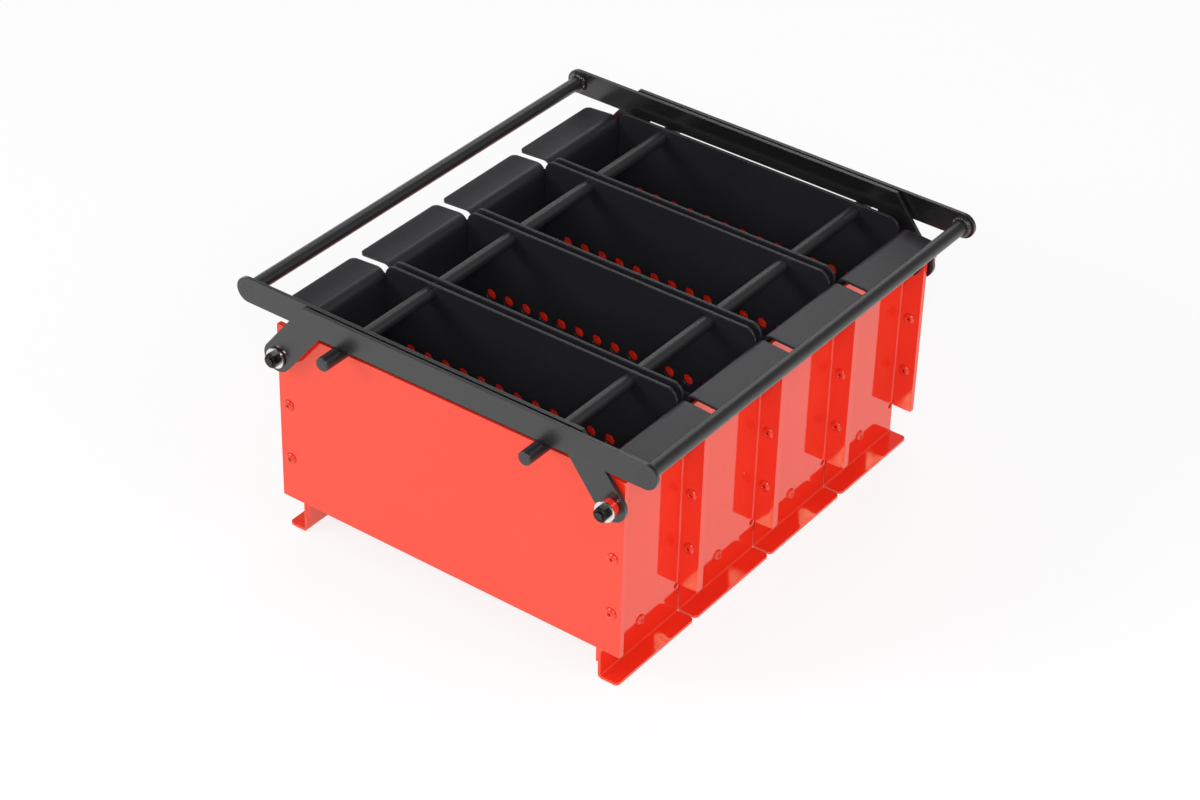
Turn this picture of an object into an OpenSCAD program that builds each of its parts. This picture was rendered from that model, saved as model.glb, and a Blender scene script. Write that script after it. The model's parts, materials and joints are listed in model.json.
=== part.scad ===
// Hand press for paper briquettes: four open moulds side by side in a riveted red sheet box,
// four black trays that push down into them, and two crossed levers that push on the trays' rods.
// X runs along the moulds, Y across the four bays, Z up. The origin is on the floor, centred.

/* [Box walls] */
// Length of each wall, along the moulds
wall_l = 306; // [280:1:340]
// Height of each wall
wall_h = 149.5; // [135:0.5:170]
// Height of the walls' lower edge above the floor
wall_lift = 28; // [22:0.5:40]
// Distance from one wall to the next, centre to centre
bay_pitch = 94.7; // [80:0.1:110]
// Thickness of the red sheet, coating included
sheet = 2.2; // [1.5:0.1:3]

/* [End panels] */
// Width of the upright flanges, from the web's outer face to the wall's end
flange_w = 17.4; // [15:0.1:24]
// Inside radius of the bends in the red sheet
bend_r = 1.5; // [1:0.1:2.5]
// Reach of the foot beyond the web's outer face
foot_w = 14.9; // [10:0.1:22]
// Radius of the foot's outer corners
foot_corner_r = 3.5; // [1:0.1:6]
// Diameter of the relief holes below the flange bends
relief_d = 4.6; // [3:0.1:5]

/* [Mould floors] */
// Height of the mould floor's top above the walls' lower edge
floor_rise = 3.5; // [2.5:0.1:10]
// Height of the floor's turned-down ends
floor_end_h = 18; // [14:0.5:26]
// Gap between the floor's long edges and the walls
floor_play = 0.4; // [0.2:0.1:1]
// Depth of the floor's rivets below its top
floor_rivet_drop = 9; // [7:0.5:12]

/* [Rivets] */
// Diameter of the rivet shanks
rivet_d = 4; // [3:0.1:5]
// Diameter of the rivet heads
rivet_head_d = 8.4; // [6.5:0.1:9.5]
// Height of the domed rivet heads
rivet_head_h = 1.7; // [1:0.1:2.5]
// Diameter of the swelled blind end
rivet_bulb_d = 5.6; // [5.2:0.1:7]
// Length of the swelled blind end
rivet_bulb_l = 3; // [2:0.1:5]
// Diameter of the hole that the pulled pin leaves
rivet_pin_d = 2; // [1:0.1:2.5]
// Distance of the wall rivets from the wall's end
rivet_inset = 8.6; // [7:0.1:10]
// Height of the lower wall rivets above the walls' lower edge
rivet_low = 35.5; // [25:0.5:45]
// Height of the upper wall rivets above the walls' lower edge
rivet_high = 82.5; // [70:0.5:95]

/* [Lever pivots] */
// Distance of the pivots from the wall's end
pivot_inset = 8; // [7.5:0.1:9]
// Depth of the pivots below the wall's top
pivot_drop = 20; // [16:0.5:26]
// Diameter of the boss that the lever turns on
boss_d = 13.5; // [12:0.1:15]
// Sideways play of the outer lever between the inner lever and the washer
boss_play = 1.1; // [0.5:0.1:2]
// Diameter of the pivot bolts
bolt_d = 6; // [5:0.1:7]
// Width across flats of the nuts and bolt heads
nut_af = 10; // [9:0.1:11]
// Height of the nuts
nut_h = 5; // [4:0.1:7]
// Height of the bolt heads
bolt_head_h = 4; // [3:0.1:6]
// Length of bolt that shows beyond the nut
bolt_proud = 1; // [0.5:0.1:4]
// Diameter of the washers
washer_d = 15.8; // [14.5:0.1:18]
// Thickness of the washers
washer_t = 1.5; // [1:0.1:2.5]
// Radial clearance of the bolts in the sheets, bosses and washers
bolt_fit = 0.2; // [0.1:0.05:0.4]
// Radial clearance of the nuts on the bolts
thread_fit = 0.05; // [0.02:0.01:0.1]

/* [Press trays] */
// Thickness of the trays' black sheet
tray_sheet = 2; // [1.5:0.1:2.5]
// Gap between a tray and the walls beside it
tray_side_gap = 1.8; // [1:0.1:3]
// Gap between a tray and the end panels
tray_end_gap = 1.9; // [1:0.1:3]
// Height of the trays' long sides
tray_depth = 78.5; // [70:0.5:90]
// Height of the long sides above the box walls
tray_rise = 14.5; // [13:0.5:18]
// Inside radius of the bends at the tray's bottom
tray_bend_r = 2; // [1.5:0.1:3]
// Open slit between the long sides and the end walls
tray_slit = 0.5; // [0.3:0.1:1]
// Radius of the long sides' top corners
tray_corner_r = 9; // [5:0.5:12]
// Height of the end lips above the box walls
lip_rise = 9; // [7:0.5:12]
// Reach of the lips beyond the tray's end walls
lip_reach = 29.5; // [22:0.5:34]
// Inside radius of the roll from the end wall into the lip
lip_bend_r = 6; // [3:0.5:8]
// Slope of the lips down toward their outer edge, in degrees
lip_droop = 4; // [0:0.5:6]
// Distance of the lips' side edges inside the tray's long sides
lip_inset = 0.8; // [0.5:0.1:1.5]
// Radius of the lips' outer corners
lip_corner_r = 4.5; // [2:0.5:8]
// Diameter of the drain holes in trays and mould floors
hole_d = 9; // [6:0.5:11]
// Distance from one drain hole to the next
hole_pitch = 16.4; // [14:0.1:18]
// Height of the side holes above the tray's bottom
hole_rise = 13.5; // [11:0.5:20]
// Distance between the rows of holes in the floors
hole_row_pitch = 26; // [20:0.5:30]

/* [Press rods] */
// Diameter of the rods
rod_d = 10.8; // [9:0.1:12]
// Distance between the two rods
rod_spacing = 177; // [150:1:200]
// Reach of the rods beyond the front and back walls
rod_overhang = 26.5; // [20:0.5:35]
// Chamfer on the ends of the rods
rod_chamfer = 0.9; // [0.3:0.1:2]
// Radial clearance of the rods in the trays
rod_fit = 0.1; // [0.05:0.05:0.2]
// Clearance of the rods above the box walls
rod_seat = 0.3; // [0.2:0.1:0.6]

/* [Levers] */
// Thickness of the lever arms
arm_t = 3; // [2:0.1:4]
// Height of the lever arms' straight part
arm_h = 20; // [16:0.5:26]
// Clearance of the levers above the rods
arm_seat = 0.3; // [0.2:0.1:0.6]
// Gap between the box wall and the inner lever
inner_arm_gap = 1.8; // [1.2:0.1:3]
// Gap between the inner and the outer lever
arm_gap = 2.1; // [1.2:0.1:3]
// Distance from the pivot to the elbow, along the wall
elbow_run = 32.5; // [24:0.5:40]
// Width of the slanted leg and of its round end
leg_w = 24; // [20:0.5:28]
// Distance between the two handle bars
handle_spacing = 350; // [345:1:400]
// Diameter of the handle bars
bar_d = 10.8; // [8:0.1:14]
// Radial clearance of the handle bars in the arms
bar_fit = 0.1; // [0.05:0.05:0.2]
// Width of the weld between bar and arm
weld_w = 1.6; // [0.8:0.1:3]
// Radial clearance of the levers on their bosses
pivot_fit = 0.1; // [0.05:0.01:0.1]

/* [Hidden] */
$fn = 64;

// Overlap that lets a cut run clean through a face
cut = 1;
bays = 4;
holes_per_row = 14;
floor_rows = 3;
// Corner radius of a hexagon that measures 1 across its flats
hexagon_corner = 1 / sqrt(3);

// Heights
wall_top = wall_lift + wall_h;
floor_top = wall_lift + floor_rise;
floor_rivet_z = floor_top - floor_rivet_drop;
pivot_z = wall_top - pivot_drop;
tray_top = wall_top + tray_rise;
tray_bottom = tray_top - tray_depth;
lip_top = wall_top + lip_rise;
rod_z = wall_top + rod_seat + rod_d / 2;
arm_z = rod_z + rod_d / 2 + arm_seat + arm_h / 2;

// Places along X
web_out = wall_l / 2 - flange_w;
web_in = web_out - sheet;
rivet_x = wall_l / 2 - rivet_inset;
pivot_x = wall_l / 2 - pivot_inset;
tray_end_x = web_in - tray_end_gap;
handle_x = handle_spacing / 2;
elbow_x = pivot_x - elbow_run;

// Places along Y
bay_w = bay_pitch - sheet;
box_half = bays * bay_pitch / 2 + sheet / 2;
tray_w = bay_w - 2 * tray_side_gap;
bend_out = bend_r + sheet;
inner_arm_y = box_half + inner_arm_gap;
outer_arm_y = inner_arm_y + arm_t + arm_gap;
boss_l = inner_arm_gap + arm_t + arm_gap + arm_t + boss_play;

function wall_y(i) = (i - bays / 2) * bay_pitch;
function bay_y(i) = (i - bays / 2 + 0.5) * bay_pitch;
function row_x(i) = (i - (holes_per_row - 1) / 2) * hole_pitch;

// Straight hole along Y through everything between two places
module bore_y(x, z, d, y0, y1) {
    translate([x, y0, z])
        rotate([-90, 0, 0])
            cylinder(d = d, h = y1 - y0);
}

// Quarter ring of a bend, drawn in the first quadrant
module bend(r_in, r_out) {
    intersection() {
        difference() {
            circle(r = r_out);
            circle(r = r_in);
        }
        square(r_out);
    }
}

// Profile drawn in X and Z, made w wide and centred across Y
module across(w) {
    translate([0, w / 2, 0])
        rotate([90, 0, 0])
            linear_extrude(w)
                children();
}

// Rectangle with its far corners, at +X, rounded
module tab(l, w, r) {
    translate([0, -w / 2])
        square([l - r, w]);
    translate([0, -w / 2 + r])
        square([l, w - 2 * r]);
    for (s = [-1, 1])
        translate([l - r, s * (w / 2 - r)])
            circle(r = r);
}

// Flat wall between two bays; the front and back walls are also drilled for the pivots
module box_wall(i, has_pivots) {
    difference() {
        translate([-wall_l / 2, wall_y(i) - sheet / 2, wall_lift])
            cube([wall_l, sheet, wall_h]);
        for (s = [-1, 1], z = [rivet_low, rivet_high])
            bore_y(s * rivet_x, wall_lift + z, rivet_d, wall_y(i) - sheet, wall_y(i) + sheet);
        if (has_pivots)
            for (s = [-1, 1])
                bore_y(s * pivot_x, pivot_z, bolt_d + 2 * bolt_fit, wall_y(i) - sheet, wall_y(i) + sheet);
    }
}

// Channel seen from above: web with its two flanges bent outward
module panel_channel() {
    translate([web_in, -bay_w / 2 + bend_out])
        square([sheet, bay_w - 2 * bend_out]);
    for (s = [0, 1])
        mirror([0, s])
            translate([web_out + bend_r, 0]) {
                translate([0, bay_w / 2 - bend_out])
                    mirror([1, 0])
                        bend(bend_r, bend_out);
                translate([0, bay_w / 2 - sheet])
                    square([flange_w - bend_r, sheet]);
            }
}

// Lower end of the web and the foot, seen from the front
module panel_foot_profile() {
    translate([web_in, bend_out])
        square([sheet, wall_lift - cut - bend_out]);
    translate([web_out + bend_r, bend_out])
        mirror([1, 0])
            mirror([0, 1])
                bend(bend_r, bend_out);
}

// One end of a mould: web, upright flanges for the rivets, and a foot to stand on
module end_panel(i) {
    translate([0, bay_y(i), 0])
        difference() {
            union() {
                translate([0, 0, wall_lift])
                    linear_extrude(wall_h)
                        panel_channel();
                translate([web_in, -bay_w / 2 + bend_out, bend_out])
                    cube([sheet, bay_w - 2 * bend_out, wall_lift]);
                across(bay_w)
                    panel_foot_profile();
                translate([web_out + bend_r, 0, 0])
                    linear_extrude(sheet)
                        tab(foot_w - bend_r, bay_w, foot_corner_r);
            }
            for (s = [-1, 1]) {
                translate([web_in - cut, s * (bay_w / 2 - bend_out), wall_lift - cut])
                    rotate([0, 90, 0])
                        cylinder(d = relief_d, h = sheet + bend_r + 2 * cut);
                for (z = [rivet_low, rivet_high])
                    bore_y(rivet_x, wall_lift + z, rivet_d,
                           s * (bay_w - sheet) / 2 - sheet, s * (bay_w - sheet) / 2 + sheet);
            }
            if (i == 0)
                bore_y(pivot_x, pivot_z, bolt_d + 2 * bolt_fit, -bay_w / 2 - cut, -bay_w / 2 + sheet + cut);
            if (i == bays - 1)
                bore_y(pivot_x, pivot_z, bolt_d + 2 * bolt_fit, bay_w / 2 - sheet - cut, bay_w / 2 + cut);
            translate([web_in - cut, 0, floor_rivet_z])
                rotate([0, 90, 0])
                    cylinder(d = rivet_d, h = sheet + 2 * cut);
        }
}

module right_end_panel(i) {
    color("red")
        end_panel(i);
}

module left_end_panel(i) {
    color("red")
        mirror([1, 0, 0])
            end_panel(i);
}

// Perforated bottom of one mould, its ends turned down and riveted to the end panels
module mould_floor(i) {
    floor_w = bay_w - 2 * floor_play;
    color("firebrick")
        translate([0, bay_y(i), 0])
            difference() {
                across(floor_w) {
                    translate([-web_in + bend_out, floor_top - sheet])
                        square([2 * (web_in - bend_out), sheet]);
                    for (s = [0, 1])
                        mirror([s, 0]) {
                            translate([web_in - bend_out, floor_top - bend_out])
                                bend(bend_r, bend_out);
                            translate([web_in - sheet, floor_top - floor_end_h])
                                square([sheet, floor_end_h - bend_out]);
                        }
                }
                drain_field(floor_top - sheet, sheet);
                translate([-web_in - cut, 0, floor_rivet_z])
                    rotate([0, 90, 0])
                        cylinder(d = rivet_d, h = 2 * (web_in + cut));
            }
}

// Rows of drain holes down through a floor whose underside is at z
module drain_field(z, t) {
    for (i = [0 : holes_per_row - 1], j = [0 : floor_rows - 1])
        translate([row_x(i), (j - (floor_rows - 1) / 2) * hole_row_pitch, z - cut])
            cylinder(d = hole_d, h = t + 2 * cut);
}

// Blind rivet along Y: domed head outside, swelled end behind sheets of thickness grip
module rivet(grip) {
    dome_r = (pow(rivet_head_d / 2, 2) + pow(rivet_head_h, 2)) / (2 * rivet_head_h);
    rotate([-90, 0, 0])
        difference() {
            union() {
                intersection() {
                    translate([0, 0, dome_r - rivet_head_h])
                        sphere(r = dome_r);
                    translate([0, 0, -rivet_head_h])
                        cylinder(d = rivet_head_d, h = rivet_head_h);
                }
                cylinder(d = rivet_d, h = grip + rivet_bulb_l);
                translate([0, 0, grip])
                    cylinder(d = rivet_bulb_d, h = rivet_bulb_l);
            }
            translate([0, 0, -rivet_head_h - cut])
                cylinder(d = rivet_pin_d, h = rivet_head_h + cut);
        }
}

// Two rivets on one side of every wall, heads toward the front
module wall_rivets(side) {
    for (i = [0 : bays], z = [rivet_low, rivet_high]) {
        flanges_before = i > 0 ? 1 : 0;
        flanges_after = i < bays ? 1 : 0;
        translate([side * rivet_x, wall_y(i) - sheet / 2 - flanges_before * sheet, wall_lift + z])
            rivet((1 + flanges_before + flanges_after) * sheet);
    }
}

module wall_rivets_right() {
    color("red")
        wall_rivets(1);
}

module wall_rivets_left() {
    color("red")
        wall_rivets(-1);
}

// One rivet low in the middle of each end panel, through the mould floor's turned-down end
module floor_rivets() {
    color("red")
        for (i = [0 : bays - 1], s = [-1, 1])
            translate([s * web_out, bay_y(i), floor_rivet_z])
                rotate([0, 0, s * 90])
                    rivet(2 * sheet);
}

// Repeats its children at the four pivots, turned so that +Y points out of the box
module at_pivots() {
    for (sx = [-1, 1], sy = [0, 1])
        mirror([0, 1 - sy, 0])
            translate([sx * pivot_x, box_half, pivot_z])
                children();
}

// Tube that a lever turns on, between the wall and the washer
module pivot_bosses() {
    color("red")
        at_pivots()
            difference() {
                bore_y(0, 0, boss_d, 0, boss_l);
                bore_y(0, 0, bolt_d + 2 * bolt_fit, -cut, boss_l + cut);
            }
}

// Hexagon prism along Y
module hexagon(af, y0, y1) {
    translate([0, y0, 0])
        rotate([-90, 0, 0])
            cylinder(r = af * hexagon_corner, h = y1 - y0, $fn = 6);
}

// Bolt from inside the end panel's flange, through wall, boss, washer and nut
module pivot_bolts() {
    color("dimgray")
        at_pivots() {
            hexagon(nut_af, -2 * sheet - bolt_head_h, -2 * sheet);
            bore_y(0, 0, bolt_d, -2 * sheet - bolt_head_h / 2, boss_l + washer_t + nut_h + bolt_proud);
        }
}

module pivot_washers() {
    color("silver")
        at_pivots()
            difference() {
                bore_y(0, 0, washer_d, boss_l, boss_l + washer_t);
                bore_y(0, 0, bolt_d + 2 * bolt_fit, boss_l - cut, boss_l + washer_t + cut);
            }
}

// Nut with its outer corners turned down to a cone
module pivot_nuts() {
    nut_y = boss_l + washer_t;
    nut_corner_r = nut_af * hexagon_corner;
    color("black")
        at_pivots()
            difference() {
                intersection() {
                    hexagon(nut_af, nut_y, nut_y + nut_h);
                    translate([0, nut_y, 0])
                        rotate([-90, 0, 0])
                            rotate_extrude()
                                polygon([
                                    [0, 0],
                                    [nut_corner_r, 0],
                                    [nut_corner_r, nut_h - (nut_corner_r - nut_af / 2)],
                                    [nut_af / 2, nut_h],
                                    [0, nut_h]
                                ]);
                }
                bore_y(0, 0, bolt_d + 2 * thread_fit, nut_y - cut, nut_y + nut_h + cut);
            }
}

// Folded press tray: perforated bottom, two long sides, and end walls that roll out into lips
module press_tray(i) {
    fold = tray_bend_r + tray_sheet;
    color([0.2, 0.2, 0.21])
        translate([0, bay_y(i), 0])
            difference() {
                union() {
                    tray_trough(fold);
                    for (s = [0, 1])
                        mirror([0, s, 0])
                            tray_long_side(fold);
                    for (s = [0, 1])
                        mirror([s, 0, 0])
                            tray_end_wall(fold);
                }
                drain_field(tray_bottom, tray_sheet);
                for (n = [0 : holes_per_row - 1])
                    bore_y(row_x(n), tray_bottom + hole_rise, hole_d, -tray_w / 2 - cut, tray_w / 2 + cut);
                for (s = [-1, 1])
                    bore_y(s * rod_spacing / 2, rod_z, rod_d + 2 * rod_fit,
                           -tray_w / 2 - cut, tray_w / 2 + cut);
            }
}

// Bottom of the tray with the bends up into the long sides
module tray_trough(fold) {
    run = tray_end_x - fold;
    translate([-run, 0, tray_bottom])
        rotate([90, 0, 90])
            linear_extrude(2 * run)
                for (s = [0, 1])
                    mirror([s, 0]) {
                        square([tray_w / 2 - fold, tray_sheet]);
                        translate([tray_w / 2 - fold, fold])
                            mirror([0, 1])
                                bend(tray_bend_r, fold);
                    }
}

// One long side, with rounded top corners
module tray_long_side(fold) {
    half_l = tray_end_x - tray_sheet - tray_slit;
    side_h = tray_top - tray_bottom - fold;
    translate([0, tray_w / 2, tray_bottom + fold])
        rotate([90, 0, 0])
            linear_extrude(tray_sheet)
                rotate([0, 0, 90])
                    tab(side_h, 2 * half_l, tray_corner_r);
}

// One end: bend at the bottom, upright wall, roll outward and lip that slopes down a little
module tray_end_wall(fold) {
    roll = lip_bend_r + tray_sheet;
    roll_x = tray_end_x + lip_bend_r;
    lip_w = tray_w - 2 * lip_inset;
    lip_fall = lip_reach * tan(lip_droop);
    across(tray_w - 2 * (fold + tray_slit))
        translate([tray_end_x - fold, tray_bottom + fold])
            mirror([0, 1])
                bend(tray_bend_r, fold);
    across(lip_w) {
        translate([tray_end_x - tray_sheet, tray_bottom + fold])
            square([tray_sheet, lip_top - roll - tray_bottom - fold]);
        translate([roll_x, lip_top - roll])
            mirror([1, 0])
                bend(lip_bend_r, roll);
    }
    intersection() {
        translate([roll_x - cut, 0, lip_top - roll])
            linear_extrude(roll + cut)
                tab(lip_reach - lip_bend_r + cut, lip_w, lip_corner_r);
        across(tray_w)
            polygon([
                [roll_x, lip_top - tray_sheet],
                [roll_x + lip_reach, lip_top - tray_sheet - lip_fall],
                [roll_x + lip_reach, lip_top - lip_fall],
                [roll_x, lip_top]
            ]);
    }
}

// Round rod through all four trays, its ends under the lever arms
module press_rod(x) {
    half_l = box_half + rod_overhang;
    color([0.25, 0.25, 0.26])
        translate([x, -half_l, rod_z])
            rotate([-90, 0, 0])
                rotate_extrude()
                    polygon([
                        [0, 0],
                        [rod_d / 2 - rod_chamfer, 0],
                        [rod_d / 2, rod_chamfer],
                        [rod_d / 2, 2 * half_l - rod_chamfer],
                        [rod_d / 2 - rod_chamfer, 2 * half_l],
                        [0, 2 * half_l]
                    ]);
}

// Half disc on the -X side
module half_disc(r) {
    intersection() {
        circle(r = r);
        translate([-r, -r])
            square([r, 2 * r]);
    }
}

// Outline of a lever arm in X and Z, pivot at the left and handle at the right
module arm_outline() {
    rise = arm_z - pivot_z;
    leg_l = norm([elbow_run, rise]) + leg_w + arm_h;
    intersection() {
        translate([-pivot_x, pivot_z])
            rotate([0, 0, atan2(rise, elbow_run)]) {
                half_disc(leg_w / 2);
                translate([0, -leg_w / 2])
                    square([leg_l, leg_w]);
            }
        translate([-pivot_x - leg_w, pivot_z - leg_w])
            square([leg_l + 2 * leg_w, leg_w + rise + arm_h / 2]);
    }
    translate([-elbow_x, arm_z - arm_h / 2])
        square([handle_x + elbow_x, arm_h]);
    translate([handle_x, arm_z])
        mirror([1, 0])
            half_disc(arm_h / 2);
}

// Front arm of a lever whose inner face lies at distance y from the middle of the box
module lever_arm(y) {
    color([0.33, 0.33, 0.34])
        difference() {
            translate([0, -y, 0])
                rotate([90, 0, 0])
                    linear_extrude(arm_t)
                        arm_outline();
            bore_y(-pivot_x, pivot_z, boss_d + 2 * pivot_fit, -y - arm_t - cut, -y + cut);
            bore_y(handle_x, arm_z, bar_d + 2 * bar_fit, -y - arm_t - cut, -y + cut);
        }
}

// Round bar through a lever's two arms, with a small fillet of weld inside each arm
module lever_bar(y) {
    half_l = y + arm_t;
    color([0.25, 0.25, 0.26])
        translate([handle_x, 0, arm_z])
            rotate([-90, 0, 0])
                rotate_extrude()
                    polygon([
                        [0, -half_l],
                        [bar_d / 2, -half_l],
                        [bar_d / 2, -y],
                        [bar_d / 2 + weld_w, -y],
                        [bar_d / 2, weld_w - y],
                        [bar_d / 2, y - weld_w],
                        [bar_d / 2 + weld_w, y],
                        [bar_d / 2, y],
                        [bar_d / 2, half_l],
                        [0, half_l]
                    ]);
}

module outer_lever_front_arm() {
    lever_arm(outer_arm_y);
}

module outer_lever_back_arm() {
    mirror([0, 1, 0])
        lever_arm(outer_arm_y);
}

module outer_lever_bar() {
    lever_bar(outer_arm_y);
}

module inner_lever_front_arm() {
    mirror([1, 0, 0])
        lever_arm(inner_arm_y);
}

module inner_lever_back_arm() {
    mirror([1, 0, 0])
        mirror([0, 1, 0])
            lever_arm(inner_arm_y);
}

module inner_lever_bar() {
    mirror([1, 0, 0])
        lever_bar(inner_arm_y);
}

module front_wall() {
    color("tomato")
        box_wall(0, true);
}

module partition_wall(i) {
    color("tomato")
        box_wall(i, false);
}

module back_wall() {
    color("tomato")
        box_wall(bays, true);
}

front_wall();
partition_wall(1);  // partition_wall_1
partition_wall(2);  // partition_wall_2
partition_wall(3);  // partition_wall_3
back_wall();
right_end_panel(0);  // right_end_panel_1
right_end_panel(1);  // right_end_panel_2
right_end_panel(2);  // right_end_panel_3
right_end_panel(3);  // right_end_panel_4
left_end_panel(0);  // left_end_panel_1
left_end_panel(1);  // left_end_panel_2
left_end_panel(2);  // left_end_panel_3
left_end_panel(3);  // left_end_panel_4
mould_floor(0);  // mould_floor_1
mould_floor(1);  // mould_floor_2
mould_floor(2);  // mould_floor_3
mould_floor(3);  // mould_floor_4
wall_rivets_right();
wall_rivets_left();
floor_rivets();
pivot_bosses();
pivot_bolts();
pivot_washers();
pivot_nuts();
press_tray(0);  // press_tray_1
press_tray(1);  // press_tray_2
press_tray(2);  // press_tray_3
press_tray(3);  // press_tray_4
press_rod(-rod_spacing / 2);  // press_rod_left
press_rod(rod_spacing / 2);  // press_rod_right
outer_lever_front_arm();
outer_lever_back_arm();
outer_lever_bar();
inner_lever_front_arm();
inner_lever_back_arm();
inner_lever_bar();
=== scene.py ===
import json
import math

import bmesh
import bpy
from mathutils import Matrix, Vector, noise


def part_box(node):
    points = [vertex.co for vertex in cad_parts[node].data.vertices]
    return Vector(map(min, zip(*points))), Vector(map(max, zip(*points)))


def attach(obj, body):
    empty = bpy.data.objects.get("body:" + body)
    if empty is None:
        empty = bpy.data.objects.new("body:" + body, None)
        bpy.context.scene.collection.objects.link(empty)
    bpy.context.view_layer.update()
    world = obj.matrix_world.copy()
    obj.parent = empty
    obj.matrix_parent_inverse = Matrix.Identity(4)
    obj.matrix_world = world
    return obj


# Looks of the paper briquette maker: glossy red powder coat on the mould box, satin black
# powder coat on the trays, rods and levers, bright washers and dark nuts at the pivots.
# Places and sizes are in metres, angles in degrees.

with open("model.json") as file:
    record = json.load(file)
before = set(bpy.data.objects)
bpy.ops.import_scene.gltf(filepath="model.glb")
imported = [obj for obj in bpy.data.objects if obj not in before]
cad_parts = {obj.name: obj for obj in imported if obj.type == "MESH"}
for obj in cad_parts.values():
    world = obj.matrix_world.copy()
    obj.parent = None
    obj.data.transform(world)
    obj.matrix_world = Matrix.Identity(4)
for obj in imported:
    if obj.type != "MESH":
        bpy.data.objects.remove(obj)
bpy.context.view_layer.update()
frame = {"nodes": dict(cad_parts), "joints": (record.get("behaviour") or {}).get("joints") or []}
scene = bpy.context.scene

# Camera, as fitted to the photograph
CAMERA_PLACE = Vector((1.1019, -1.5403, 1.3954))
CAMERA_AZIMUTH = 35.646
CAMERA_ELEVATION = 34.897
CAMERA_ROLL = 1.697
LENS_MM = 93.19
SENSOR_MM = 36.0
LENS_SHIFT = (-0.0037, -0.0002)
CLIP_NEAR = 0.05
CLIP_FAR = 80

# Radius that the coat gives the sharp edges
RED_EDGE = 0.0003
SHEET_EDGE = 0.0005
ROD_EDGE = 0.0011
TRAY_EDGE = 0.0013
SMALL_EDGE = 0.0002
EDGE_SAMPLES = 6

# Powder coat: sizes of its slow drifts in tone, of the waves of its orange peel and of the
# grain on them, the grain's depth as a share of the waves', and how far the gloss varies
DRIFT_SIZE = 0.06
WAVE_SIZE = 0.0028
GRAIN_SIZE = 0.0007
GRAIN_SHARE = 0.2
GLOSS_SHARE = 0.13

# Bare metal: sizes of its mottling, gloss patches and scratches, and how far the gloss varies
METAL_MOTTLE = 0.0015
METAL_PATCH = 0.0008
SCRATCH_SIZE = 0.0005
METAL_GLOSS_STEP = 0.06

# Band that most of a noise texture's values lie in
NOISE_BAND = (0.3, 0.7)

# Tints of the reflections
PLAIN = (1, 1, 1)
WARM = (1, 1, 0.72)


class Nodes:
    """A node tree, with short calls for the nodes that materials and the world share."""

    def __init__(self, tree):
        self.tree = tree

    def add(self, kind, **values):
        node = self.tree.nodes.new(kind)
        for key, value in values.items():
            setattr(node, key, value)
        return node

    def link(self, out, into):
        self.tree.links.new(out, into)

    def feed(self, value, into):
        """Gives an input a number, or the output of another node."""
        if isinstance(value, (int, float)):
            into.default_value = value
        else:
            self.link(value, into)

    def maths(self, operation, first, second):
        node = self.add("ShaderNodeMath", operation=operation)
        self.feed(first, node.inputs[0])
        self.feed(second, node.inputs[1])
        return node.outputs["Value"]

    def remap(self, value, old, new):
        """The value moved from the range old to the range new, and held inside it."""
        node = self.add("ShaderNodeMapRange")
        node.inputs["From Min"].default_value, node.inputs["From Max"].default_value = old
        node.inputs["To Min"].default_value, node.inputs["To Max"].default_value = new
        self.link(value, node.inputs["Value"])
        return node.outputs["Result"]

    def mix_shaders(self, factor, first, second):
        node = self.add("ShaderNodeMixShader")
        for into, out in zip(node.inputs, (factor, first, second)):
            self.link(out, into)
        return node.outputs["Shader"]

    def background(self, strength):
        """White light from all round, of that strength."""
        node = self.add("ShaderNodeBackground")
        node.inputs["Color"].default_value = (1, 1, 1, 1)
        self.feed(strength, node.inputs["Strength"])
        return node.outputs["Background"]


class Shader(Nodes):
    """One node-based material, with helpers for the nodes that several finishes share."""

    def __init__(self, name):
        self.material = bpy.data.materials.new(name)
        self.material.use_nodes = True
        super().__init__(self.material.node_tree)
        self.surface = self.tree.nodes["Principled BSDF"]
        self.place = self.add("ShaderNodeTexCoord").outputs["Object"]

    def noise(self, size, detail, roughness=0.5):
        """Noise whose features are about size metres across."""
        node = self.add("ShaderNodeTexNoise")
        node.inputs["Scale"].default_value = 1 / size
        node.inputs["Detail"].default_value = detail
        node.inputs["Roughness"].default_value = roughness
        self.link(self.place, node.inputs["Vector"])
        return node.outputs["Fac"]

    def mix(self, factor, first, second):
        """Colour mixed from first to second."""
        node = self.add("ShaderNodeMix", data_type="RGBA")
        node.inputs[6].default_value = (*first, 1)
        node.inputs[7].default_value = (*second, 1)
        self.link(factor, node.inputs[0])
        return node.outputs[2]

    def soft_edges(self, radius):
        """Normal that rounds the sharp edges by the radius, without touching the mesh."""
        node = self.add("ShaderNodeBevel", samples=EDGE_SAMPLES)
        node.inputs["Radius"].default_value = radius
        return node.outputs["Normal"]

    def bump(self, normal, layers):
        """Bump from (value, depth in metres) layers, each on top of the one before."""
        for value, depth in layers:
            node = self.add("ShaderNodeBump")
            node.inputs["Strength"].default_value = 1
            node.inputs["Distance"].default_value = depth
            self.link(value, node.inputs["Height"])
            self.link(normal, node.inputs["Normal"])
            normal = node.outputs["Normal"]
        return normal


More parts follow.
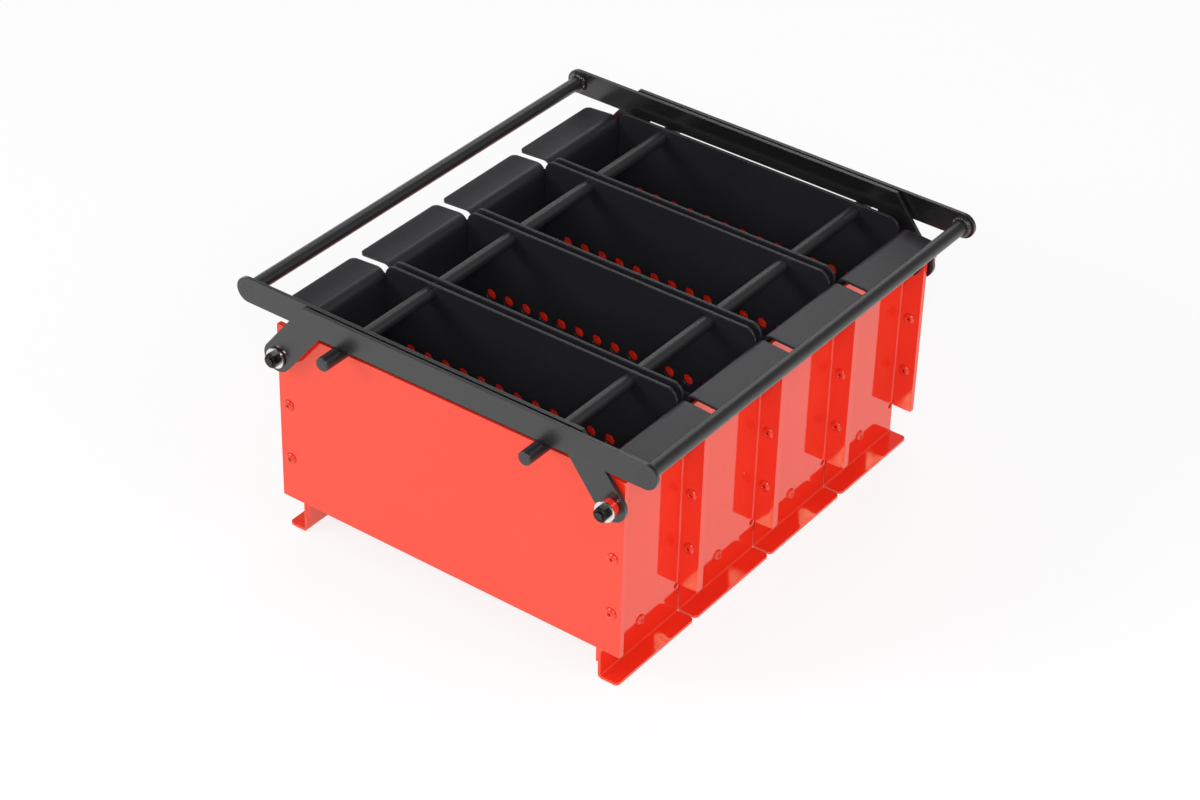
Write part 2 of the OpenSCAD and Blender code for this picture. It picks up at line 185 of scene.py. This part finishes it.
def powder_coat(
    name, light, dark, gloss, peel, mottle=0.002, shine=0.5, tint=PLAIN, coat=0.0, coat_gloss=0.05,
    edge=SHEET_EDGE,
):
    """Powder coat: an orange-peel surface, slow drifts in tone and small changes in the gloss.

    peel is the depth of the orange peel, mottle the size of the gloss patches, shine the specular
    level, and coat the weight of the clear layer. gloss and coat_gloss are roughnesses.
    """
    shader = Shader(name)
    surface = shader.surface.inputs
    drift = shader.remap(shader.noise(DRIFT_SIZE, detail=3), NOISE_BAND, (0, 1))
    shader.link(shader.mix(drift, light, dark), surface["Base Color"])
    patches = shader.noise(mottle, detail=4, roughness=0.6)
    gloss_range = (gloss * (1 - GLOSS_SHARE), gloss * (1 + GLOSS_SHARE))
    shader.link(shader.remap(patches, NOISE_BAND, gloss_range), surface["Roughness"])
    surface["Specular IOR Level"].default_value = shine
    surface["Specular Tint"].default_value = (*tint, 1)
    surface["Coat Weight"].default_value = coat
    surface["Coat Roughness"].default_value = coat_gloss
    waves = shader.noise(WAVE_SIZE, detail=1)
    grain = shader.noise(GRAIN_SIZE, detail=2)
    peeled = shader.bump(shader.soft_edges(edge), [(waves, peel), (grain, peel * GRAIN_SHARE)])
    shader.link(peeled, surface["Normal"])
    shader.link(peeled, surface["Coat Normal"])
    return shader.material


def bare_metal(name, light, dark, gloss, scratch):
    """Plated or oiled steel with small mottling and fine scratches, scratch metres deep."""
    shader = Shader(name)
    surface = shader.surface.inputs
    mottling = shader.remap(shader.noise(METAL_MOTTLE, detail=4, roughness=0.7), NOISE_BAND, (0, 1))
    shader.link(shader.mix(mottling, light, dark), surface["Base Color"])
    surface["Metallic"].default_value = 1
    patches = shader.noise(METAL_PATCH, detail=3)
    gloss_range = (gloss - METAL_GLOSS_STEP, gloss + METAL_GLOSS_STEP)
    shader.link(shader.remap(patches, NOISE_BAND, gloss_range), surface["Roughness"])
    scratches = shader.noise(SCRATCH_SIZE, detail=3)
    worn = shader.bump(shader.soft_edges(SMALL_EDGE), [(scratches, scratch)])
    shader.link(worn, surface["Normal"])
    return shader.material


red_coat = powder_coat(
    "red_powder_coat", light=(0.84, 0.028, 0.012), dark=(0.79, 0.025, 0.010), gloss=0.055,
    peel=0.000005, mottle=0.012, shine=0.88, tint=WARM, edge=RED_EDGE,
)
rivet_coat = powder_coat(
    "red_rivet_coat", light=(0.76, 0.023, 0.010), dark=(0.68, 0.019, 0.008), gloss=0.26,
    peel=0.000006, mottle=0.003, shine=0.9, tint=WARM, edge=SMALL_EDGE,
)
tray_coat = powder_coat(
    "black_tray_coat", light=(0.0135, 0.0132, 0.0172), dark=(0.0108, 0.0106, 0.0140), gloss=0.42,
    peel=0.000024, coat=0.2, coat_gloss=0.34, edge=TRAY_EDGE,
)
# The arms and the handle bars carry one black paint; the arms' darker base is painted shade
arm_coat_painted_shade = powder_coat(
    "black_arm_coat", light=(0.0066, 0.0063, 0.0070), dark=(0.0052, 0.0050, 0.0056), gloss=0.36,
    peel=0.000026, coat=0.62, coat_gloss=0.22,
)
bar_coat = powder_coat(
    "black_bar_coat", light=(0.0120, 0.0114, 0.0128), dark=(0.0095, 0.0090, 0.0102), gloss=0.44,
    peel=0.000026, coat=0.55, coat_gloss=0.34,
)
rod_coat = powder_coat(
    "black_rod_coat", light=(0.0140, 0.0138, 0.0160), dark=(0.0110, 0.0108, 0.0130), gloss=0.46,
    peel=0.000024, coat=0.5, coat_gloss=0.37, edge=ROD_EDGE,
)
weld_coat = powder_coat(
    "black_weld_coat", light=(0.0120, 0.0115, 0.0125), dark=(0.0080, 0.0078, 0.0085), gloss=0.34,
    peel=0.000030, mottle=0.001, coat=0.7, coat_gloss=0.16, edge=SMALL_EDGE,
)
nut_steel = bare_metal(
    "black_nut_steel", light=(0.040, 0.039, 0.038), dark=(0.018, 0.018, 0.018), gloss=0.36,
    scratch=0.000008,
)
bolt_steel = bare_metal(
    "dark_bolt_steel", light=(0.085, 0.083, 0.080), dark=(0.035, 0.034, 0.033), gloss=0.40,
    scratch=0.000008,
)
# Broken rivet pins are real mandrels, but their near-black colour is painted shade in the holes
pin_steel_painted_shade = bare_metal(
    "dark_pin_steel", light=(0.040, 0.020, 0.018), dark=(0.018, 0.010, 0.009), gloss=0.55,
    scratch=0.000020,
)
washer_zinc = bare_metal(
    "bright_washer_zinc", light=(0.86, 0.85, 0.82), dark=(0.72, 0.71, 0.68), gloss=0.24,
    scratch=0.000006,
)


def finish_of(name):
    """Material of a node, by its name."""
    if name == "pivot_nuts":
        return nut_steel
    if name == "pivot_bolts":
        return bolt_steel
    if name == "pivot_washers":
        return washer_zinc
    if name.startswith("press_tray"):
        return tray_coat
    if name.startswith("press_rod"):
        return rod_coat
    if name.endswith("_arm"):
        return arm_coat_painted_shade
    if name.endswith("_bar"):
        return bar_coat
    if "rivets" in name:
        return rivet_coat
    return red_coat


def dress_nodes():
    for name, node in frame["nodes"].items():
        node.data.materials.clear()
        node.data.materials.append(finish_of(name))


def add_piece(name, verts, faces, material, body):
    """Smooth closed mesh that rides on a body and takes its finish from a slot."""
    mesh = bpy.data.meshes.new(name)
    mesh.from_pydata(verts, [], faces)
    shell = bmesh.new()
    shell.from_mesh(mesh)
    bmesh.ops.recalc_face_normals(shell, faces=shell.faces)
    shell.to_mesh(mesh)
    shell.free()
    mesh.shade_smooth()
    mesh.materials.append(material)
    piece = bpy.data.objects.new(name, mesh)
    scene.collection.objects.link(piece)
    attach(piece, body)


# Rivets: the walls that carry them from front to back, and their heights
RIVETED_WALLS = ("front_wall", "partition_wall_1", "partition_wall_2", "partition_wall_3", "back_wall")
WALL_RIVET_HEIGHTS = (0.0635, 0.1105)
FLOOR_RIVET_HEIGHT = 0.0225
BAYS = 4

# Turned shapes as (radius, height) from the outside in: a rivet's full head round its hole,
# the broken pin deep in it, whose dark colour is painted shade, and the dimpled end of a bolt
RIVET_HEAD = [
    (0.0046, -0.0002), (0.0047, 0.0002), (0.0046, 0.0006), (0.0042, 0.00105), (0.0035, 0.0015),
    (0.0028, 0.00185), (0.0023, 0.00205), (0.0019, 0.00200), (0.0016, 0.0017), (0.0015, 0.0013),
    (0.0015, 0.0009),
]
RIVET_PIN = [(0.00097, 0.0), (0.00097, 0.0003), (0.0008, 0.0005), (0.0004, 0.0006)]
BOLT_END = [
    (0.00295, -0.0002), (0.00295, 0.0001), (0.0026, 0.00045), (0.0021, 0.0005),
    (0.0017, 0.00035), (0.0014, 0.00008), (0.0009, 0.00005), (0.0006, 0.00015),
]
TURN_CORNERS = 24

# How far the turned shapes stray from true, and how fast that changes round them, from one
# seat to the next and with the height
RIVET_HEAD_RAGGED = 0.0001
RIVET_PIN_RAGGED = 0.0002
BOLT_END_RAGGED = 0.00004
RAGGED_ROUND = 1.5
RAGGED_SEAT = 3.7
RAGGED_RISE = 2000

# Weld beads round the handle bars, on the inner faces of the arms. WELD_OUT and WELD_UP are how
# far the bead's middle stands off the bar and the arm, as shares of its radius.
BAR_RADIUS = 0.0054
WELD_RADIUS = 0.0021
WELD_OUT = 0.3
WELD_UP = 0.3
WELD_STEPS = 150
WELD_CORNERS = 12

# The bead's radius as shares of WELD_RADIUS: its even part, ripples, lumps and a slow drift
WELD_EVEN = 0.95
WELD_RIPPLE = 0.1
WELD_LUMP = 0.6
WELD_DRIFT = 0.35

# Ripples in one round, how far the drift shifts them, how fast lumps and drift change round
# the bead, and their starts in the noise for each weld
WELD_RIPPLES = 15
RIPPLE_SHIFT = 3
LUMP_ROUND = 1.3
LUMP_START = 50
DRIFT_ROUND = 0.6
DRIFT_START = 37


def rivet_seats():
    """Where each rivet's head meets the sheet, and the way the head points."""
    front_low, front_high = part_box("front_wall")
    sheet = front_high[1] - front_low[1]
    rivets_low, rivets_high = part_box("wall_rivets_right")
    wall_rivet_x = (rivets_low[0] + rivets_high[0]) / 2
    for wall in RIVETED_WALLS:
        wall_low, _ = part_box(wall)
        # Each wall but the front one has flanges of the end panels on its front
        face = wall_low[1] - (0 if wall == "front_wall" else sheet)
        for side in (-1, 1):
            for height in WALL_RIVET_HEIGHTS:
                yield Vector((side * wall_rivet_x, face, height)), Vector((0, -1, 0))
    for bay in range(BAYS):
        panel_low, panel_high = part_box(f"right_end_panel_{bay + 1}")
        middle = (panel_low[1] + panel_high[1]) / 2
        for side in (-1, 1):
            seat = Vector((side * (panel_low[0] + sheet), middle, FLOOR_RIVET_HEIGHT))
            yield seat, Vector((side, 0, 0))


def bolt_ends():
    """Middle of each pivot bolt's end, and the way it points."""
    low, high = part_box("pivot_bolts")
    for joint in frame["joints"]:
        if joint["type"] == "hinge":
            x, _, z = joint["pos_m"]
            yield Vector((x, low[1], z)), Vector((0, -1, 0))
            yield Vector((x, high[1], z)), Vector((0, 1, 0))


def add_turned(name, seats, profile, ragged, middle_open, material):
    """The same turned shape at every seat, each with its own unevenness, in one piece."""
    verts, faces = [], []
    for count, (seat, out) in enumerate(seats):
        up = Vector((0, 0, 1))
        across = out.cross(up)
        first = len(verts)
        for radius, height in profile:
            start = Vector((count * RAGGED_SEAT, height * RAGGED_RISE, 0))
            for k in range(TURN_CORNERS):
                turn = 2 * math.pi * k / TURN_CORNERS
                spoke = across * math.cos(turn) + up * math.sin(turn)
                uneven = ragged * noise.noise(spoke * RAGGED_ROUND + start)
                verts.append(seat + spoke * radius + out * (height + uneven))
        last = first + (len(profile) - 1) * TURN_CORNERS
        for low in range(first, last, TURN_CORNERS):
            high = low + TURN_CORNERS
            for k in range(TURN_CORNERS):
                after = (k + 1) % TURN_CORNERS
                faces.append((low + k, low + after, high + after, high + k))
        if middle_open:
            for k in range(TURN_CORNERS):
                after = (k + 1) % TURN_CORNERS
                faces.append((last + k, last + after, first + after, first + k))
        else:
            faces.append(tuple(last + k for k in range(TURN_CORNERS)))
            faces.append(tuple(first + k for k in reversed(range(TURN_CORNERS))))
    add_piece(name, verts, faces, material, "frame")


def weld_radius(spoke, turn, middle):
    """Radius of the bead in the direction of a spoke."""
    drift = noise.noise(spoke * DRIFT_ROUND + middle * DRIFT_START)
    lump = noise.noise(spoke * LUMP_ROUND + middle * LUMP_START)
    ripple = abs(math.sin(turn * WELD_RIPPLES / 2 + RIPPLE_SHIFT * drift))
    return WELD_RADIUS * (WELD_EVEN + WELD_RIPPLE * ripple + WELD_LUMP * lump + WELD_DRIFT * drift)


def add_weld(lever, arm, toward):
    """Lumpy bead where a handle bar enters an arm. toward is the way from the arm to the middle."""
    arm_low, arm_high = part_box(f"{lever}_{arm}_arm")
    bar_low, bar_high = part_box(f"{lever}_bar")
    face = arm_high[1] if toward > 0 else arm_low[1]
    middle = Vector(((bar_low[0] + bar_high[0]) / 2, face, (bar_low[2] + bar_high[2]) / 2))
    ring = BAR_RADIUS + WELD_RADIUS * WELD_OUT
    verts, faces = [], []
    for i in range(WELD_STEPS):
        turn = 2 * math.pi * i / WELD_STEPS
        spoke = Vector((math.cos(turn), 0, math.sin(turn)))
        radius = weld_radius(spoke, turn, middle)
        here, beyond = i * WELD_CORNERS, (i + 1) % WELD_STEPS * WELD_CORNERS
        for k in range(WELD_CORNERS):
            roll = 2 * math.pi * k / WELD_CORNERS
            inward = Vector((0, toward * radius * (WELD_UP + math.sin(roll)), 0))
            verts.append(middle + spoke * (ring + radius * math.cos(roll)) + inward)
            after = (k + 1) % WELD_CORNERS
            faces.append((here + k, beyond + k, beyond + after, here + after))
    add_piece(f"{lever}_{arm}_weld", verts, faces, weld_coat, lever)


# Studio: a wide white floor, which keeps a share of its real light and shadow and glows with
# the rest
FLOOR_HALF = 30.0
FLOOR_Z = -0.0002
FLOOR_COLOUR = (0.95, 0.95, 0.95)
FLOOR_SHADOW_SHARE = 0.2

# Light from all round
ROOM_LIGHT = 0.55

# Reflections see a white room whose ceiling dims in steps of (height of the direction,
# brightness), and whose walls dim towards the front and the right. The ranges are of the
# direction's y and x, from one brightness to the other.
CEILING_STEPS = [(0.34, 1.0), (0.47, 0.38), (0.56, 0.30), (0.75, 0.20)]
ROOM_FRONT = 0.2
ROOM_FRONT_RANGE = (-0.45, -0.05)
ROOM_RIGHT = 0.35
ROOM_RIGHT_RANGE = (-0.1, 0.4)

# Middle of the object, which most lamps point at, and the softbox that the right-hand lips of
# the trays reflect, with the spot straight below it
MIDDLE = (0, 0, 0.1)
SOFTBOX = (-0.56, 1.25, 1.385)
SOFTBOX_SPOT = (-0.56, 1.25, 0)


def add_camera():
    azimuth = math.radians(CAMERA_AZIMUTH)
    elevation = math.radians(CAMERA_ELEVATION)
    roll = math.radians(CAMERA_ROLL)
    back = Vector((
        math.sin(azimuth) * math.cos(elevation),
        -math.cos(azimuth) * math.cos(elevation),
        math.sin(elevation),
    ))
    level_right = Vector((math.cos(azimuth), math.sin(azimuth), 0))
    level_up = back.cross(level_right)
    right = math.cos(roll) * level_right + math.sin(roll) * level_up
    up = math.cos(roll) * level_up - math.sin(roll) * level_right
    turn = Matrix((right, up, back)).transposed().to_4x4()
    data = bpy.data.cameras.new("camera")
    data.sensor_width = SENSOR_MM
    data.lens = LENS_MM
    data.shift_x, data.shift_y = LENS_SHIFT
    data.clip_start = CLIP_NEAR
    data.clip_end = CLIP_FAR
    camera = bpy.data.objects.new("camera", data)
    camera.matrix_world = Matrix.Translation(CAMERA_PLACE) @ turn
    scene.collection.objects.link(camera)
    scene.camera = camera


def add_floor():
    """Floor that glows white to the camera and to reflections, under a share of its real light."""
    mesh = bpy.data.meshes.new("floor")
    corners = [(-FLOOR_HALF, -FLOOR_HALF), (FLOOR_HALF, -FLOOR_HALF), (FLOOR_HALF, FLOOR_HALF),
               (-FLOOR_HALF, FLOOR_HALF)]
    mesh.from_pydata([(x, y, FLOOR_Z) for x, y in corners], [], [(0, 1, 2, 3)])
    floor = bpy.data.objects.new("floor", mesh)
    scene.collection.objects.link(floor)
    material = bpy.data.materials.new("white_floor")
    material.use_nodes = True
    material.node_tree.nodes.clear()
    nodes = Nodes(material.node_tree)
    path = nodes.add("ShaderNodeLightPath")
    seen = nodes.maths("MAXIMUM", path.outputs["Is Camera Ray"], path.outputs["Is Glossy Ray"])
    glow_share = nodes.maths("MULTIPLY", seen, 1 - FLOOR_SHADOW_SHARE)
    paper = nodes.add("ShaderNodeBsdfDiffuse")
    paper.inputs["Color"].default_value = (*FLOOR_COLOUR, 1)
    glow = nodes.add("ShaderNodeEmission")
    glow.inputs["Strength"].default_value = 1
    surface = nodes.mix_shaders(glow_share, paper.outputs["BSDF"], glow.outputs["Emission"])
    nodes.link(surface, nodes.add("ShaderNodeOutputMaterial").inputs["Surface"])
    mesh.materials.append(material)


def room_brightness(nodes):
    """Brightness of the room in each direction, as reflections see it."""
    direction = nodes.add("ShaderNodeTexCoord")
    split = nodes.add("ShaderNodeSeparateXYZ")
    nodes.link(direction.outputs["Generated"], split.inputs[0])
    ceiling = nodes.add("ShaderNodeValToRGB")
    stops = ceiling.color_ramp.elements
    while len(stops) < len(CEILING_STEPS):
        stops.new(1)
    for stop, (height, glow) in zip(stops, CEILING_STEPS):
        stop.position = height
        stop.color = (glow, glow, glow, 1)
    nodes.link(split.outputs["Z"], ceiling.inputs["Fac"])
    front = nodes.remap(split.outputs["Y"], ROOM_FRONT_RANGE, (ROOM_FRONT, 1))
    right = nodes.remap(split.outputs["X"], ROOM_RIGHT_RANGE, (1, ROOM_RIGHT))
    return nodes.maths("MULTIPLY", ceiling.outputs["Color"], nodes.maths("MULTIPLY", front, right))


def add_world():
    """Soft even light. The camera sees white, and reflections a white room with a dim ceiling."""
    world = bpy.data.worlds.new("studio")
    world.use_nodes = True
    world.node_tree.nodes.clear()
    nodes = Nodes(world.node_tree)
    path = nodes.add("ShaderNodeLightPath")
    clear = nodes.maths("MAXIMUM", path.outputs["Is Camera Ray"], path.outputs["Is Transmission Ray"])
    light = nodes.background(ROOM_LIGHT)
    room = nodes.background(room_brightness(nodes))
    white = nodes.background(1)
    reflected = nodes.mix_shaders(path.outputs["Is Glossy Ray"], light, room)
    surface = nodes.mix_shaders(clear, reflected, white)
    nodes.link(surface, nodes.add("ShaderNodeOutputWorld").inputs["Surface"])
    scene.world = world


def add_lamp(name, place, size, watts, target=MIDDLE):
    data = bpy.data.lights.new(name, "AREA")
    data.shape = "RECTANGLE"
    data.size, data.size_y = size
    data.energy = watts
    lamp = bpy.data.objects.new(name, data)
    lamp.location = place
    lamp.rotation_mode = "QUATERNION"
    lamp.rotation_quaternion = (Vector(target) - Vector(place)).to_track_quat("-Z", "Y")
    lamp.visible_camera = False
    scene.collection.objects.link(lamp)


add_camera()
add_world()
add_floor()
dress_nodes()
add_turned("rivet_heads", rivet_seats(), RIVET_HEAD, RIVET_HEAD_RAGGED, True, rivet_coat)
add_turned("rivet_pins", rivet_seats(), RIVET_PIN, RIVET_PIN_RAGGED, False, pin_steel_painted_shade)
add_turned("bolt_ends", bolt_ends(), BOLT_END, BOLT_END_RAGGED, False, bolt_steel)
for lever in ("outer_lever", "inner_lever"):
    add_weld(lever, "front", toward=1)
    add_weld(lever, "back", toward=-1)
add_lamp("key_light", place=(1.29, -1.80, 1.63), size=(0.3, 0.3), watts=26)
add_lamp("broad_light", place=(1.5, -2.6, 2.0), size=(1.6, 1.2), watts=8)
add_lamp("fill_light", place=(-1.8, -2.2, 1.6), size=(1.4, 1.2), watts=34)
add_lamp("side_light", place=(2.6, 0.2, 1.6), size=(1.2, 1.2), watts=15)
add_lamp("overhead_softbox", place=SOFTBOX, size=(0.4, 0.8), watts=2.8, target=SOFTBOX_SPOT)

scene.view_settings.view_transform = "Standard"
